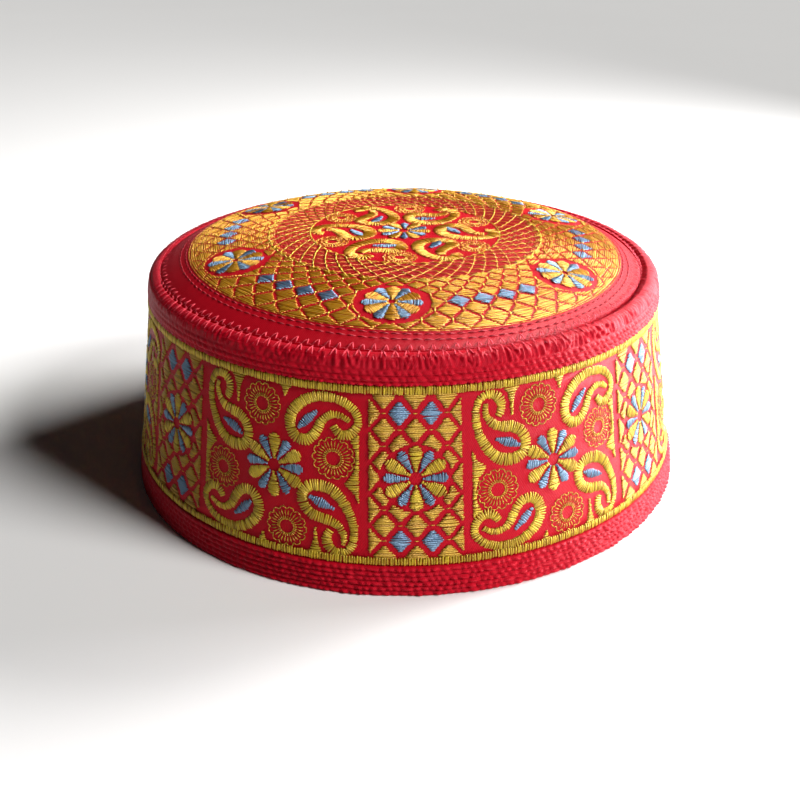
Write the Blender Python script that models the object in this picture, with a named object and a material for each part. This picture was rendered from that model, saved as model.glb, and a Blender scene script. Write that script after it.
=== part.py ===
"""Prayer cap: a stiff round cap with an embroidered wall, quilted edges and a domed crown.

Metres, +Z up. The origin is the centre of the hem's foot, which stands on the floor.
Run it with: blender --background --python part.py
"""

import math
from collections import namedtuple

import bmesh
import bpy

# Driving sizes of the wall
FOOT_DIAMETER = 0.1880
RIM_DIAMETER = 0.1661
RIM_HEIGHT = 0.0704
WALL_THICKNESS = 0.0026

# How far the cap is from a true round cone
OVAL_SHARE = 0.0166
OVAL_DIRECTION = math.radians(37.0)
RIM_LEAN = -0.0017
CROWN_SHIFT = -0.0008

# Hem: the quilted foot
HEM_HEIGHT = 0.0093
HEM_RIBS = 5
HEM_PUFF = 0.0008

# Embroidered band and its two raised borders
EMBROIDERY_DEPTH = 0.0007
BORDER_WIDTH = 0.0030
BORDER_THICKNESS = 0.0010

# Upper margin: puckered, then rolled over into the rim
MARGIN_HEIGHT = 0.0084
ROLL_WIDTH = 0.00415
SEAT_DEPTH = 0.0020
FOLD_COUNT = 30
FOLD_DEPTH = 0.0003

# Crown disc
CROWN_RISE = 0.0089
CROWN_BELOW_RIM = 0.0008
CROWN_THICKNESS = 0.0024
CROWN_DOME_POWER = 5.2
CROWN_FIELD_RADIUS = 0.0708
CROWN_FIELD_RAISE = 0.0004

# Sewn pieces are kept this far apart
CLEARANCE = 0.0003
ROUND_STEPS = 90

RED_CLOTH = (0.58, 0.02, 0.04)
DARK_RED_CLOTH = (0.50, 0.015, 0.03)
GOLD_THREAD = (0.62, 0.43, 0.03)

# A point of a section: radius and height in metres, its share of the folds and of the
# crown's sideways shift
Point = namedtuple("Point", "radius height fold shift")

# The outside of the upper margin, from its foot to the lip beside the crown.
# up: share of the margin's height; across: share of the roll's width, inwards from the wall
MarginRow = namedtuple("MarginRow", "up across fold shift")
MARGIN_ROWS = (
    MarginRow(up=0.26, across=-0.14, fold=1.0, shift=0.0),
    MarginRow(up=0.48, across=0.02, fold=0.3, shift=0.0),
    MarginRow(up=0.69, across=-0.02, fold=0.8, shift=0.0),
    MarginRow(up=0.86, across=0.13, fold=0.5, shift=0.2),
    MarginRow(up=0.96, across=0.33, fold=0.2, shift=0.4),
    MarginRow(up=1.00, across=0.55, fold=0.0, shift=0.6),
    MarginRow(up=0.95, across=0.79, fold=0.0, shift=0.9),
)

# Radii of the crown's rings, as shares of its own radius
CROWN_MARGIN_RINGS = (1.0, 0.965, 0.93)
CROWN_FIELD_RINGS = (0.99, 0.96, 0.90, 0.78, 0.55, 0.28)
CROWN_UNDERSIDE_RINGS = (0.30, 0.60, 0.80, 0.91, 0.97, 1.0)

# Heights of the band's rings, as shares of its own height
BAND_OUTER_SHARES = (0.0, 0.25, 0.5, 0.75, 1.0)


def wall_radius(height):
    """Outside of the wall's straight line at a height."""
    share = height / RIM_HEIGHT
    return (FOOT_DIAMETER + (RIM_DIAMETER - FOOT_DIAMETER) * share) / 2.0


def wall_inside(height):
    return wall_radius(height) - WALL_THICKNESS


def seat_radius():
    """Inner face of the rim's lip, which the crown is sewn into."""
    return wall_radius(RIM_HEIGHT) - ROLL_WIDTH


def margin_foot():
    return RIM_HEIGHT - MARGIN_HEIGHT


def crown_edge_height():
    return RIM_HEIGHT - CROWN_BELOW_RIM


def crown_height(share):
    """Height of the crown's cloth at a share of its radius: flat on top, with round shoulders."""
    return crown_edge_height() + CROWN_RISE * (1.0 - share ** CROWN_DOME_POWER)


def placed(point, angle):
    """Position of a section's point at an angle round the cap, on the slightly oval, leaning form."""
    oval = 1.0 + OVAL_SHARE * math.cos(2.0 * (angle - OVAL_DIRECTION))
    folds = FOLD_DEPTH * point.fold * math.cos(FOLD_COUNT * angle)
    radius = point.radius * oval + folds
    lean = RIM_LEAN * point.height / RIM_HEIGHT + CROWN_SHIFT * point.shift
    return (radius * math.cos(angle) + lean, radius * math.sin(angle), point.height)


def plain(radius, height, shift=0.0):
    return Point(radius=radius, height=height, fold=0.0, shift=shift)


def material(name, colour, roughness):
    made = bpy.data.materials.new(name)
    made.use_nodes = True
    shader = made.node_tree.nodes["Principled BSDF"]
    shader.inputs["Base Color"].default_value = (*colour, 1.0)
    shader.inputs["Roughness"].default_value = roughness
    shader.inputs["Metallic"].default_value = 0.0
    return made


def finished(name, bm, colour, roughness):
    """Turn a bmesh into a named, smooth-shaded object with a material of its own."""
    bmesh.ops.recalc_face_normals(bm, faces=bm.faces)
    mesh = bpy.data.meshes.new(name)
    bm.to_mesh(mesh)
    bm.free()
    mesh.shade_smooth()
    mesh.set_sharp_from_angle(angle=math.radians(50.0))
    mesh.materials.append(material(name, colour, roughness))
    made = bpy.data.objects.new(name, mesh)
    bpy.context.scene.collection.objects.link(made)
    return made


def turned_rings(bm, section):
    """One ring of vertices for each point of a section, all round the cap."""
    angles = [2.0 * math.pi * step / ROUND_STEPS for step in range(ROUND_STEPS)]
    return [[bm.verts.new(placed(point, angle)) for angle in angles] for point in section]


def skin_between(bm, lower, upper):
    for step in range(ROUND_STEPS):
        after = (step + 1) % ROUND_STEPS
        bm.faces.new((lower[step], lower[after], upper[after], upper[step]))


def turned_band(name, section, colour, roughness=0.75):
    """A closed band: the section is an open list whose last point joins its first."""
    bm = bmesh.new()
    rings = turned_rings(bm, section)
    for lower, upper in zip(rings, rings[1:] + rings[:1]):
        skin_between(bm, lower, upper)
    return finished(name, bm, colour, roughness)


def turned_disc(name, section, colour, roughness=0.75):
    """A closed disc: its section runs from the top's middle to the rim and back underneath."""
    bm = bmesh.new()
    rings = turned_rings(bm, section[1:-1])
    for lower, upper in zip(rings, rings[1:]):
        skin_between(bm, lower, upper)
    for middle, ring in ((section[0], rings[0]), (section[-1], rings[-1])):
        pole = bm.verts.new(placed(middle, 0.0))
        for step in range(ROUND_STEPS):
            bm.faces.new((ring[step], ring[(step + 1) % ROUND_STEPS], pole))
    return finished(name, bm, colour, roughness)


def make_hem():
    """Quilted foot: rows of stitching pull it in, and the cloth puffs out between them."""
    top = HEM_HEIGHT - CLEARANCE
    rib_height = top / HEM_RIBS
    outside = [plain(wall_radius(0.0), 0.0)]
    for rib in range(HEM_RIBS):
        crest = (rib + 0.5) * rib_height
        valley = (rib + 1.0) * rib_height
        outside.append(plain(wall_radius(crest) + HEM_PUFF, crest))
        outside.append(plain(wall_radius(valley), valley))
    inside = [plain(wall_inside(height), height) for height in (top, top / 2.0, 0.0)]
    return turned_band("hem", outside + inside, RED_CLOTH)


def make_side_band():
    """Embroidered wall: its cloth lies a little behind the borders that stand on it."""
    low = HEM_HEIGHT
    high = margin_foot()
    heights = [low + (high - low) * share for share in BAND_OUTER_SHARES]
    outside = [plain(wall_radius(height) - EMBROIDERY_DEPTH, height) for height in heights]
    inside = [plain(wall_inside(height), height) for height in (high, (low + high) / 2.0, low)]
    return turned_band("side_band", outside + inside, DARK_RED_CLOTH)


def make_border(name, low, high):
    """Raised satin-stitch border, crowned across its width."""
    middle = (low + high) / 2.0
    under = EMBROIDERY_DEPTH - CLEARANCE
    proud = BORDER_THICKNESS - under
    section = (
        plain(wall_radius(low) - under, low),
        plain(wall_radius(low) + proud / 2.0, low),
        plain(wall_radius(middle) + proud, middle),
        plain(wall_radius(high) + proud / 2.0, high),
        plain(wall_radius(high) - under, high),
    )
    return turned_band(name, section, GOLD_THREAD, roughness=0.4)


def make_upper_margin():
    """Puckered strip above the embroidery, rolled over into the rim with a seat for the crown."""
    foot = margin_foot() + CLEARANCE
    lip = RIM_HEIGHT - SEAT_DEPTH
    seat_foot = crown_edge_height() - CROWN_THICKNESS
    section = [plain(wall_radius(foot), foot)]
    for row in MARGIN_ROWS:
        height = margin_foot() + MARGIN_HEIGHT * row.up
        radius = wall_radius(height) - ROLL_WIDTH * row.across
        section.append(Point(radius=radius, height=height, fold=row.fold, shift=row.shift))
    section.append(plain(seat_radius(), lip, shift=1.0))
    section.append(plain(seat_radius(), seat_foot, shift=1.0))
    section.append(plain(wall_inside(foot), (foot + seat_foot) / 2.0))
    section.append(plain(wall_inside(foot), foot))
    return turned_band("upper_margin", section, RED_CLOTH)


def make_crown():
    """Domed disc: a plain margin at the edge and a raised embroidered field within it."""
    edge = seat_radius() - CLEARANCE
    field = CROWN_FIELD_RADIUS / edge
    margin = [
        plain(edge * share, crown_height(share), shift=1.0)
        for share in CROWN_MARGIN_RINGS
    ]
    raised = [
        plain(edge * field * share, crown_height(field * share) + CROWN_FIELD_RAISE, shift=1.0)
        for share in CROWN_FIELD_RINGS
    ]
    underside = [
        plain(edge * share, crown_height(share) - CROWN_THICKNESS, shift=1.0)
        for share in CROWN_UNDERSIDE_RINGS
    ]
    top_middle = plain(0.0, crown_height(0.0) + CROWN_FIELD_RAISE, shift=1.0)
    low_middle = plain(0.0, crown_height(0.0) - CROWN_THICKNESS, shift=1.0)
    section = [top_middle, *reversed(raised), *reversed(margin), *reversed(underside), low_middle]
    return turned_disc("crown", section, RED_CLOTH)


def main():
    for old in list(bpy.data.objects):
        bpy.data.objects.remove(old, do_unlink=True)
    make_hem()
    make_side_band()
    make_border("lower_border", HEM_HEIGHT, HEM_HEIGHT + BORDER_WIDTH)
    make_border("upper_border", margin_foot() - BORDER_WIDTH, margin_foot())
    make_upper_margin()
    make_crown()


main()
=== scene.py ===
"""Cloth, quilting and embroidery of a round prayer cap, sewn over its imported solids.

Charts of the embroidery are in millimetres on the flat cloth; everything built is in metres.
"""

import math
from collections import namedtuple

import bmesh
import bpy
import numpy as np
from mathutils import Matrix, Vector


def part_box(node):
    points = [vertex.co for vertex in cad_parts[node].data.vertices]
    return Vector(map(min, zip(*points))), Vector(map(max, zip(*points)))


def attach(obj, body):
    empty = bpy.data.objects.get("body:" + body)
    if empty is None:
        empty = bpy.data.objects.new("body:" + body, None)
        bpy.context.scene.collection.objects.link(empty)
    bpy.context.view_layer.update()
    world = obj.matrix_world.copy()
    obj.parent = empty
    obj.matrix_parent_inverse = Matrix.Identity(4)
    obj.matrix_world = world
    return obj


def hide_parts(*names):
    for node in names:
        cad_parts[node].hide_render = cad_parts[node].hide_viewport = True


bl_info = {
    "name": "Embroidered Prayer Cap",
    "version": (1, 0, 0),
    "blender": (4, 5, 0),
    "location": "View3D > Sidebar > Cap",
    "description": "Sews the cloth, quilting and embroidery of a round cap over its solids",
    "category": "Add Mesh",
}

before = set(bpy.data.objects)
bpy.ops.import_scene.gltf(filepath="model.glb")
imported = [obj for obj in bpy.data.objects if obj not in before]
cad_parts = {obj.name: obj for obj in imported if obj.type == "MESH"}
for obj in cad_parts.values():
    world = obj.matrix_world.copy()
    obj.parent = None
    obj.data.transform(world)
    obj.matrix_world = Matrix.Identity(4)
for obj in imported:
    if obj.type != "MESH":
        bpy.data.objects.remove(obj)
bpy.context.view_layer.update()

MM = 0.001
TURN = 2.0 * math.pi
FRONT = -math.pi / 2.0

# Steps round the cap that the solids have
SOLID_STEPS = 90


# The cap's form, measured on the solids

Ring = namedtuple("Ring", "x radius oval oval_turn")


def measured_ring(node, height):
    """Sideways shift, mean radius and oval of a solid's outermost ring at a height."""
    points = np.array([vertex.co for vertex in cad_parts[node].data.vertices])
    level = points[np.abs(points[:, 2] - height) < 0.02 * MM]
    reach = np.hypot(level[:, 0], level[:, 1])
    angle = np.arctan2(level[:, 1], level[:, 0])
    outwards = np.argsort(reach)
    direction = np.round(angle / TURN * SOLID_STEPS) % SOLID_STEPS
    outer = list({direction[index]: index for index in outwards}.values())
    angle, reach = angle[outer], reach[outer]
    waves = [np.ones_like(angle), np.cos(2 * angle), np.sin(2 * angle), np.cos(angle), np.sin(angle)]
    fitted = np.linalg.lstsq(np.column_stack(waves), reach, rcond=None)[0]
    radius, oval_cos, oval_sin, x = fitted[:4]
    oval_turn = math.atan2(oval_sin, oval_cos) / 2.0
    return Ring(x, radius, math.hypot(oval_cos, oval_sin) / radius, oval_turn)


HEM_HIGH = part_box("hem")[1].z
BAND_LOW, BAND_HIGH = (corner.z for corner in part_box("side_band"))
RIM_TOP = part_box("upper_margin")[1].z
CROWN_LOW, CROWN_HIGH = (corner.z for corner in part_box("crown"))
BORDER_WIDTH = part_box("upper_border")[1].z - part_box("upper_border")[0].z
BAND_HEIGHT = BAND_HIGH - BAND_LOW
MARGIN_HEIGHT = RIM_TOP - BAND_HIGH

LOWER_RING = measured_ring("side_band", BAND_LOW)
UPPER_RING = measured_ring("side_band", BAND_HIGH)
CROWN_RING = measured_ring("crown", CROWN_LOW)
OVAL = LOWER_RING.oval
OVAL_TURN = LOWER_RING.oval_turn
TAPER = (UPPER_RING.radius - LOWER_RING.radius) / BAND_HEIGHT
LEAN = (UPPER_RING.x - LOWER_RING.x) / BAND_HEIGHT

# Share of a border's width that its stitches take, from its outer edge
BORDER_STITCH = 0.80

# Values that the solids were built with
EMBROIDERY_DEPTH = 0.7 * MM
WALL_THICKNESS = 2.6 * MM
CROWN_THICKNESS = 2.4 * MM
FIELD_RAISE = 0.4 * MM
DOME_POWER = 5.2
SEAM_GAP = 0.3 * MM

CROWN_EDGE = CROWN_LOW + CROWN_THICKNESS
CROWN_RISE = CROWN_HIGH - FIELD_RAISE - CROWN_EDGE
ROLL_WIDTH = LOWER_RING.radius + TAPER * (RIM_TOP - BAND_LOW)
ROLL_WIDTH += EMBROIDERY_DEPTH - CROWN_RING.radius - SEAM_GAP


def oval(angle):
    return 1.0 + OVAL * np.cos(2.0 * (angle - OVAL_TURN))


def ground_radius(height):
    """Radius of the band's cloth, which the embroidery stands on."""
    return LOWER_RING.radius + TAPER * (height - BAND_LOW)


def wall_radius(height):
    """Radius of the wall's outside, which hem, borders and rim share."""
    return ground_radius(height) + EMBROIDERY_DEPTH


def turned(radius, angle, height, shift=0.0):
    """Points on the cap's leaning, slightly oval form; shift is their share of the crown's shift."""
    radius, angle, height = np.broadcast_arrays(radius, angle, height)
    wide = radius * oval(angle)
    aside = CROWN_RING.x - LEAN * CROWN_LOW
    x = wide * np.cos(angle) + LEAN * height + aside * shift
    return np.stack([x, wide * np.sin(angle), height], axis=-1)


def dome_height(radius):
    """Height of the crown's cloth at a radius: flat on top, with round shoulders."""
    share = np.clip(np.asarray(radius) / CROWN_RING.radius, 0.0, 1.0)
    return CROWN_EDGE + CROWN_RISE * (1.0 - share ** DOME_POWER)


# Charts: places on the flat cloth, in millimetres

CHART_ROUND = 556.0
CHART_HEIGHT = 52.7
CHART_CROWN = 78.6
CROWN_CHART_X = -1.7 * MM
CROWN_CHART_Y = -0.6 * MM


def wall_angle(u):
    """Direction of a chart's place; the cloth's repeats lie evenly on the oval."""
    angle = FRONT + TURN * u / CHART_ROUND
    return angle - OVAL * np.sin(2.0 * (angle - OVAL_TURN))


def on_wall(u, v, proud):
    """A chart's place on the wall: u runs round from the front, v up from the band's middle."""
    angle = wall_angle(u)
    height = BAND_LOW + BAND_HEIGHT * (0.5 + v / CHART_HEIGHT)
    return turned(ground_radius(height) + proud, angle, height)


def facing(out, angle, up):
    """Directions that point outwards and up by given shares."""
    out, angle, up = np.broadcast_arrays(out, angle, up)
    return np.stack([out * np.cos(angle), out * np.sin(angle), up], axis=-1)


def out_of_wall(u, v):
    steep = math.hypot(1.0, TAPER)
    return facing(1.0 / steep, wall_angle(u), -TAPER / steep)


def on_crown(u, v, proud):
    """A chart's place on the crown, with the embroidery's middle as origin and v to the back."""
    x, y = u * MM + CROWN_CHART_X, v * MM + CROWN_CHART_Y
    middle = CROWN_RING.x
    nominal = np.hypot(x - middle, y) / oval(np.arctan2(y, x - middle))
    return np.stack([x, y, dome_height(nominal) + proud], axis=-1)


def out_of_crown(u, v):
    share = np.hypot(u, v) / CHART_CROWN
    fall = CROWN_RISE * DOME_POWER * share ** (DOME_POWER - 1.0) / CROWN_RING.radius
    steep = np.hypot(1.0, fall)
    return facing(fall / steep, np.arctan2(v, u), 1.0 / steep)


Surface = namedtuple("Surface", "place out")
WALL = Surface(on_wall, out_of_wall)
CROWN = Surface(on_crown, out_of_crown)

# Outside of the upper margin, close to the solid's: up is a share of its height, across of the
# roll's width inwards, and shift of the crown's sideways shift
MarginRow = namedtuple("MarginRow", "up across shift")
MARGIN_ROWS = (
    MarginRow(up=0.02, across=0.02, shift=0.0),
    MarginRow(up=0.14, across=0.00, shift=0.0),
    MarginRow(up=0.30, across=-0.03, shift=0.0),
    MarginRow(up=0.53, across=-0.01, shift=0.0),
    MarginRow(up=0.70, across=0.01, shift=0.0),
    MarginRow(up=0.86, across=0.10, shift=0.2),
    MarginRow(up=0.95, across=0.28, shift=0.4),
    MarginRow(up=0.985, across=0.52, shift=0.6),
    MarginRow(up=0.965, across=0.78, shift=0.9),
    MarginRow(up=0.91, across=0.95, shift=1.0),
)

# Rows of the rim's section that lie on the crown, over the outermost stretch of its cloth
CROWN_EDGE_ROWS = 9
CROWN_EDGE_WIDTH = 4.0 * MM


def rim_profile():
    """Section of the cap over the seam: out over the crown's edge and down the rolled margin."""
    rows = []
    edge = CROWN_RING.radius
    for radius in np.linspace(edge - CROWN_EDGE_WIDTH, edge, CROWN_EDGE_ROWS):
        rows.append((radius, float(dome_height(radius)), 1.0))
    seam = len(rows) - 1
    for row in reversed(MARGIN_ROWS[1:-1]):
        height = BAND_HIGH + MARGIN_HEIGHT * row.up
        rows.append((wall_radius(height) - ROLL_WIDTH * row.across, height, row.shift))
    profile = np.array(rows)
    run = np.concatenate([[0.0], np.cumsum(np.hypot(np.diff(profile[:, 0]), np.diff(profile[:, 1])))])
    return (run - run[seam]) / MM, profile


RIM_RUN, RIM_PROFILE = rim_profile()


def rim_slope(v, reach_out=0.3):
    """How far the rim's surface faces outwards and up at a place of its section."""
    rows = np.arange(len(RIM_RUN))
    ahead, behind = np.interp([v + reach_out, v - reach_out], RIM_RUN, rows)
    reach = [np.interp(place, rows, RIM_PROFILE[:, 0]) for place in (behind, ahead)]
    level = [np.interp(place, rows, RIM_PROFILE[:, 1]) for place in (behind, ahead)]
    out, up = level[0] - level[1], reach[1] - reach[0]
    size = np.hypot(out, up)
    return out / size, up / size


def ramp(value, start, end):
    """0 before one value, 1 past another, and even between them."""
    return np.clip((value - start) / (end - start), 0.0, 1.0)


# The side where the seam lies deepest; on the other side it lies at the edge of a sunk shoulder
DEEP_SIDE = math.radians(23.0)
SHOULDER_SINK = 1.1 * MM


def sinking(angle, across):
    """How far the roll's shoulder has sunk, at a direction and a share of the roll's width."""
    side = ramp(-np.cos(angle - DEEP_SIDE), 0.3, 1.0)
    return SHOULDER_SINK * side * np.interp(across, (0.0, 0.15, 0.5, 0.9), (0.0, 1.0, 0.7, 0.0))


def on_rim(u, v, proud):
    """A chart's place over the seam: u runs round, v outwards and down from the crown's edge."""
    out, up = rim_slope(v)
    radius = np.interp(v, RIM_RUN, RIM_PROFILE[:, 0])
    height = np.interp(v, RIM_RUN, RIM_PROFILE[:, 1])
    sunk = sinking(wall_angle(u), (wall_radius(height) - radius) / ROLL_WIDTH)
    shift = np.interp(v, RIM_RUN, RIM_PROFILE[:, 2])
    return turned(radius + out * proud, wall_angle(u), height + up * proud - sunk, shift)


def out_of_rim(u, v):
    out, up = rim_slope(v)
    return facing(out, wall_angle(u), up)


RIM = Surface(on_rim, out_of_rim)

# Repeats of the band: lattice panels and flower panels in turn, with a plain join at the back
PANEL_REPEAT = 82.5
LATTICE_AT = 5.0
FLOWER_AT = 46.3
LATTICE_REPEATS = range(-2, 4)
FLOWER_REPEATS = range(-3, 4)
JOIN_AT = -231.7
PANEL_MIDDLE = -0.2

# Diamonds of a lattice panel: rows and columns to each side of its middle, their pitches, half
# a diamond's size, the triangles at the sides, and the circle that the flower keeps clear
LAST_ROW = 5
LAST_COLUMN = 3
COLUMN_PITCH = 4.45
ROW_PITCH = 4.69
DIAMOND_HALF_WIDTH = 3.15
DIAMOND_HALF_HEIGHT = 3.80
TRIANGLE_AT = 13.2
TRIANGLE_WIDTH = 3.4
TRIANGLE_HALF_HEIGHT = 4.35
FLOWER_CLEARING = 10.0
BAND_FIELD_HALF = 24.2

# Petals, from the flower's middle outwards; blunt makes the tip rounder
Petal = namedtuple("Petal", "inner outer width blunt")
GOLD_PETAL = Petal(inner=1.9, outer=9.5, width=3.8, blunt=5.0)
BLUE_PETAL = Petal(inner=2.0, outer=9.0, width=2.9, blunt=9.0)
CROWN_GOLD_PETAL = Petal(inner=1.0, outer=9.0, width=4.8, blunt=6.0)
CROWN_BLUE_PETAL = Petal(inner=1.6, outer=9.2, width=3.4, blunt=7.0)

# Middle lines of the paisleys in a flower panel's upper half, as x, y and the width stitched
# across: from the curl's end over the tail, down round the bulb and back up inside the tail
LEFT_PAISLEY = (
    (-17.3, 16.2, 2.2), (-16.3, 18.3, 2.7), (-16.6, 20.8, 3.0), (-18.2, 22.3, 2.8),
    (-20.4, 22.7, 2.4), (-22.5, 21.7, 2.3), (-23.7, 19.3, 2.3), (-24.0, 16.2, 2.4),
    (-23.5, 12.9, 2.6), (-22.1, 9.4, 2.9), (-20.0, 6.1, 3.2), (-17.3, 3.8, 3.5),
    (-14.0, 3.0, 3.7), (-10.9, 3.6, 3.5), (-9.1, 5.5, 3.3), (-9.0, 8.2, 3.2),
    (-10.3, 10.8, 3.2), (-12.8, 12.4, 3.3), (-15.9, 13.0, 3.2), (-18.6, 13.9, 2.7),
    (-20.5, 15.9, 2.1), (-21.2, 18.2, 1.8), (-20.9, 20.3, 1.5),
)
RIGHT_PAISLEY = (
    (17.9, 14.3, 2.2), (19.5, 12.3, 2.7), (21.8, 11.8, 3.0), (23.9, 13.1, 2.8),
    (25.1, 15.3, 2.4), (24.8, 17.9, 2.4), (22.7, 20.3, 2.5), (19.6, 21.8, 2.6),
    (16.2, 22.3, 2.8), (12.7, 22.0, 3.0), (9.2, 20.5, 3.2), (6.5, 18.1, 3.3),
    (5.0, 15.2, 3.4), (5.1, 12.1, 3.4), (6.7, 9.7, 3.3), (9.1, 9.1, 3.2),
    (11.5, 10.2, 3.1), (13.3, 12.7, 3.0), (14.5, 15.2, 2.7), (16.3, 16.9, 2.3),
    (18.7, 17.6, 2.0), (21.0, 17.0, 1.8), (22.7, 15.9, 1.5),
)
# The leaf inside a paisley's bulb, from one point to the other
LEFT_LEAF = (
    (-18.4, 9.6, 0.8), (-14.3, 8.2, 2.9), (-10.9, 6.6, 0.9),
)
RIGHT_LEAF = (
    (7.4, 12.4, 0.9), (9.9, 14.9, 2.7), (13.2, 18.1, 0.9),
)
# Middles of the lace rosettes, and how far every twin in the panel's lower half is shifted
ROSETTES = ((-4.3, 17.3), (18.0, 4.8))
TWIN_SHIFT = (0.0, -0.6)
# Outlines of the gold wedges that fill the panel's edges
TOP_WEDGE = (
    (-16.0, 24.6), (-9.8, 24.6), (-11.5, 22.4), (-12.3, 20.0),
    (-12.6, 16.0), (-13.2, 15.8), (-13.6, 19.5), (-14.3, 22.3),
)
SMALL_WEDGE = ((0.9, 24.6), (5.8, 24.6), (4.3, 22.8), (3.5, 20.9), (2.9, 20.8), (2.5, 22.6))
SIDE_WEDGE = (
    (-25.4, 7.8), (-24.0, 4.4), (-21.0, 1.8), (-23.4, -1.2),
    (-24.2, -4.2), (-24.2, -8.2), (-22.8, -11.2), (-25.4, -12.8),
)
WEDGES = (TOP_WEDGE, SMALL_WEDGE, SIDE_WEDGE)

# Crown: a lattice of curved diamonds, with a net and a middle motif inside it
CROWN_COLUMNS = 48
HALF_COLUMN = TURN / CROWN_COLUMNS / 2.0
CROWN_TURN = math.radians(-93.0)
LATTICE_RADIUS = 58.6
LATTICE_ROWS = range(-4, 4)
SIDE_INSET = 0.45
CELL_OVERHANG = 0.08
FIELD_EDGE = 70.4
NET_EDGE = 44.9
MOTIF_EDGE = 31.4
NET_PITCH = 0.9
NET_THREAD = 3.4

# Threads in the rings at the edges of the field, the net and the motif
FIELD_RING = 150
NET_RING = 90
MOTIF_RING = 66

# How much further out each half row of the lattice lies, for lines at 45 degrees
ROW_FACTOR = math.exp(HALF_COLUMN)

# Flowers let into the lattice, the half lengths kept clear for them, how far from their middles
# a cell can be cut by that, and the blue cells between them
CROWN_FLOWERS = 6
CROWN_FLOWER_SIZE = 0.96
CROWN_CLEARING = (9.9, 11.2)
CLEARING_REACH = 20.0
BLUE_CELLS = (2, 3, 4, 5)

# Middle motif: a flower, set a little aside, and six paisleys and rosettes round it
MOTIF_SHIFT = (-0.3, 0.8)
MOTIF_FLOWER_SIZE = 0.92
MOTIF_BOLDNESS = 1.25
MOTIF_PAISLEY = (
    (26.6, 3.0, 2.6), (29.0, 2.4, 3.2), (29.7, -0.9, 3.2), (27.6, -4.1, 2.9),
    (23.0, -5.6, 2.9), (17.7, -5.2, 3.2), (13.8, -3.1, 3.5), (11.6, 0.5, 3.6),
    (12.0, 4.4, 3.5), (14.2, 7.0, 3.4), (17.1, 8.0, 3.4), (19.5, 5.8, 3.4),
    (21.3, 1.9, 3.2), (23.6, -0.7, 2.6), (26.2, -1.3, 2.2),
)
MOTIF_LEAF = (
    (13.9, 5.2, 0.9), (15.9, 2.4, 2.5), (18.3, -1.2, 0.8),
)
MOTIF_ROSETTE_RADIUS = 26.2
MOTIF_ROSETTE_SIZE = 0.86

# Stitch pitches of the petals, of the band's cells and of the crown, as shares of the satin's
PETAL_PITCH = 0.92
CELL_PITCH = 0.86
CROWN_PITCH = 0.9

Petals = namedtuple("Petals", "gold blue")

# An oval kept clear of stitches: its middle, its half lengths and its turn
Clearing = namedtuple("Clearing", "x y along across turn")


def smooth_path(rows, pitch):
    """Rows read off a smooth curve through a chart's rows, a pitch apart."""
    rows = np.array(rows, float)
    padded = np.vstack([2 * rows[0] - rows[1], rows, 2 * rows[-1] - rows[-2]])
    t = np.linspace(0.0, 1.0, 12, endpoint=False)[:, None]
    spans = []
    for a, b, c, d in zip(padded, padded[1:], padded[2:], padded[3:]):
        bend = (2 * a - 5 * b + 4 * c - d) * t**2 + (3 * b - a - 3 * c + d) * t**3
        spans.append(0.5 * (2 * b + (c - a) * t + bend))
    dense = np.vstack(spans + [rows[-1:]])
    steps = np.hypot(np.diff(dense[:, 0]), np.diff(dense[:, 1]))
    length = np.concatenate([[0.0], np.cumsum(steps)])
    count = max(2, round(length[-1] / pitch))
    places = (np.arange(count) + 0.5) * length[-1] / count
    return np.column_stack([np.interp(places, length, column) for column in dense.T])


def satin(rows, pitch):
    """Stitches laid across a curved band."""
    path = smooth_path(rows, pitch)
    along = np.gradient(path[:, :2], axis=0)
    along /= np.hypot(along[:, 0], along[:, 1])[:, None]
    aside = np.column_stack([-along[:, 1], along[:, 0]]) * path[:, 2:] / 2.0
    return np.hstack([path[:, :2] - aside, path[:, :2] + aside]).tolist()


def outside(stitch, clearing):
    """What a clearing leaves of a stitch."""
    turn = np.array([
        [math.cos(clearing.turn) / clearing.along, math.sin(clearing.turn) / clearing.along],
        [-math.sin(clearing.turn) / clearing.across, math.cos(clearing.turn) / clearing.across],
    ])
    middle = np.array([clearing.x, clearing.y])
    start = turn @ (np.array(stitch[:2]) - middle)
    way = turn @ (np.array(stitch[2:]) - middle) - start
    square = way @ way
    half = start @ way
    root = half * half - square * (start @ start - 1.0)
    if root <= 0.0:
        return [stitch]
    shares = sorted(((-half - math.sqrt(root)) / square, (-half + math.sqrt(root)) / square))
    if shares[1] <= 0.0 or shares[0] >= 1.0:
        return [stitch]
    first, last = np.array(stitch[:2]), np.array(stitch[2:])
    left = []
    for low, high in ((0.0, shares[0]), (shares[1], 1.0)):
        if high > low:
            ends = np.concatenate([first + (last - first) * low, first + (last - first) * high])
            left.append(ends.tolist())
    return left


def fill(outline, pitch, turn=0.0, clearings=(), shortest=0.35):
    """Rows of parallel stitches across an outline."""
    spin = np.array([[math.cos(turn), -math.sin(turn)], [math.sin(turn), math.cos(turn)]])
    level = np.array(outline, float) @ spin
    after = np.roll(level, -1, axis=0)
    low, high = level[:, 1].min(), level[:, 1].max()
    count = max(1, round((high - low) / pitch))
    rows = []
    for row in low + (np.arange(count) + 0.5) * (high - low) / count:
        crossed = (level[:, 1] <= row) != (after[:, 1] <= row)
        share = (row - level[crossed, 1]) / (after[crossed, 1] - level[crossed, 1])
        ends = np.sort(level[crossed, 0] + share * (after[crossed, 0] - level[crossed, 0]))
        for left, right in zip(ends[::2], ends[1::2]):
            rows.append(np.concatenate([spin @ (left, row), spin @ (right, row)]).tolist())
    for clearing in clearings:
        rows = [part for row in rows for part in outside(row, clearing)]
    return [row for row in rows if math.hypot(row[2] - row[0], row[3] - row[1]) > shortest]


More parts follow.
